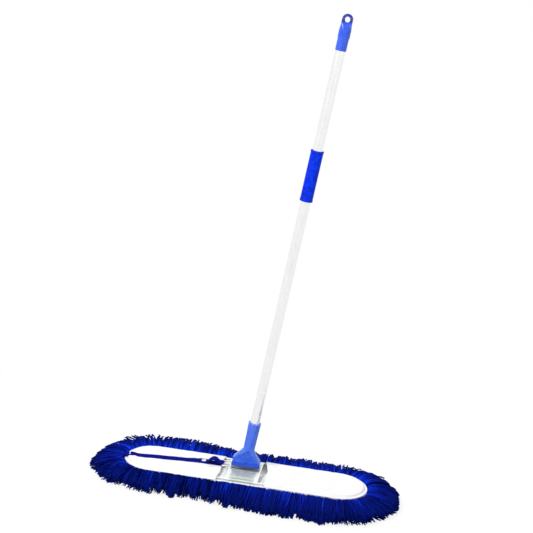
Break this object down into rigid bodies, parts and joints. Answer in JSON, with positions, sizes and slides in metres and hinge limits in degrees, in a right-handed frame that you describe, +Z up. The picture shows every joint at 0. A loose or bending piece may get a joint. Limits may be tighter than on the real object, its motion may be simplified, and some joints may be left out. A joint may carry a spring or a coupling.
{
  "type": "dust mop",
  "caption": "Flat dust mop with a wide blue yarn head on a wire frame, a steel bracket with a two-way swivel, and an aluminium pole with a soft grip and hanging eye.",
  "frame": {"origin": "on the floor under the middle of the yarn head", "axes": "+X along the head, +Y away from the user, +Z up; the pole leans towards +X"},
  "size_m": [0.8118, 0.3206, 1.2225],
  "materials": {
    "blue_yarn": "twisted cotton yarn",
    "white_canvas": "plain woven canvas",
    "blue_webbing": "woven webbing",
    "galvanised_steel": "zinc coated",
    "bright_steel": "nickel plated",
    "white_nylon": "moulded",
    "dark_blue_plastic": "moulded, satin",
    "blue_plastic": "moulded, satin",
    "pole_aluminium": "fine brushed, anodised",
    "soft_blue_grip": "soft matt sleeve"
  },
  "bodies": {
    "mop_head": {"yarn_fringe": "blue_yarn", "yarn_pile": "blue_yarn", "backing_cloth": "white_canvas", "pocket_left": "white_canvas", "pocket_right": "white_canvas", "wire_frame": "galvanised_steel", "centre_bracket": "galvanised_steel", "hinge_pin": "bright_steel", "hinge_clip": "bright_steel", "hinge_washers": "white_nylon", "strap_ring": "bright_steel", "keeper_strap": "blue_webbing", "stud_cap": "bright_steel", "stud_post": "bright_steel"},
    "swivel_block": {"swivel_block": "dark_blue_plastic"},
    "pole": {"lean_pin": "dark_blue_plastic", "lean_clip": "bright_steel", "handle_socket": "blue_plastic", "socket_screw": "bright_steel", "pole_tube": "pole_aluminium", "hand_grip": "soft_blue_grip", "hanging_cap": "blue_plastic", "cap_rivet": "bright_steel"}
  },
  "joints": [
    {"name": "swivel_tilt", "type": "hinge", "parent": "mop_head", "child": "swivel_block", "pos_m": [0, 0, 0.0595], "axis": [1, 0, 0], "range_deg": [-80, 80]},
    {"name": "swivel_lean", "type": "hinge", "parent": "swivel_block", "child": "pole", "pos_m": [0, 0, 0.0675], "axis": [0, 1, 0], "range_deg": [-17, 3]}
  ]
}
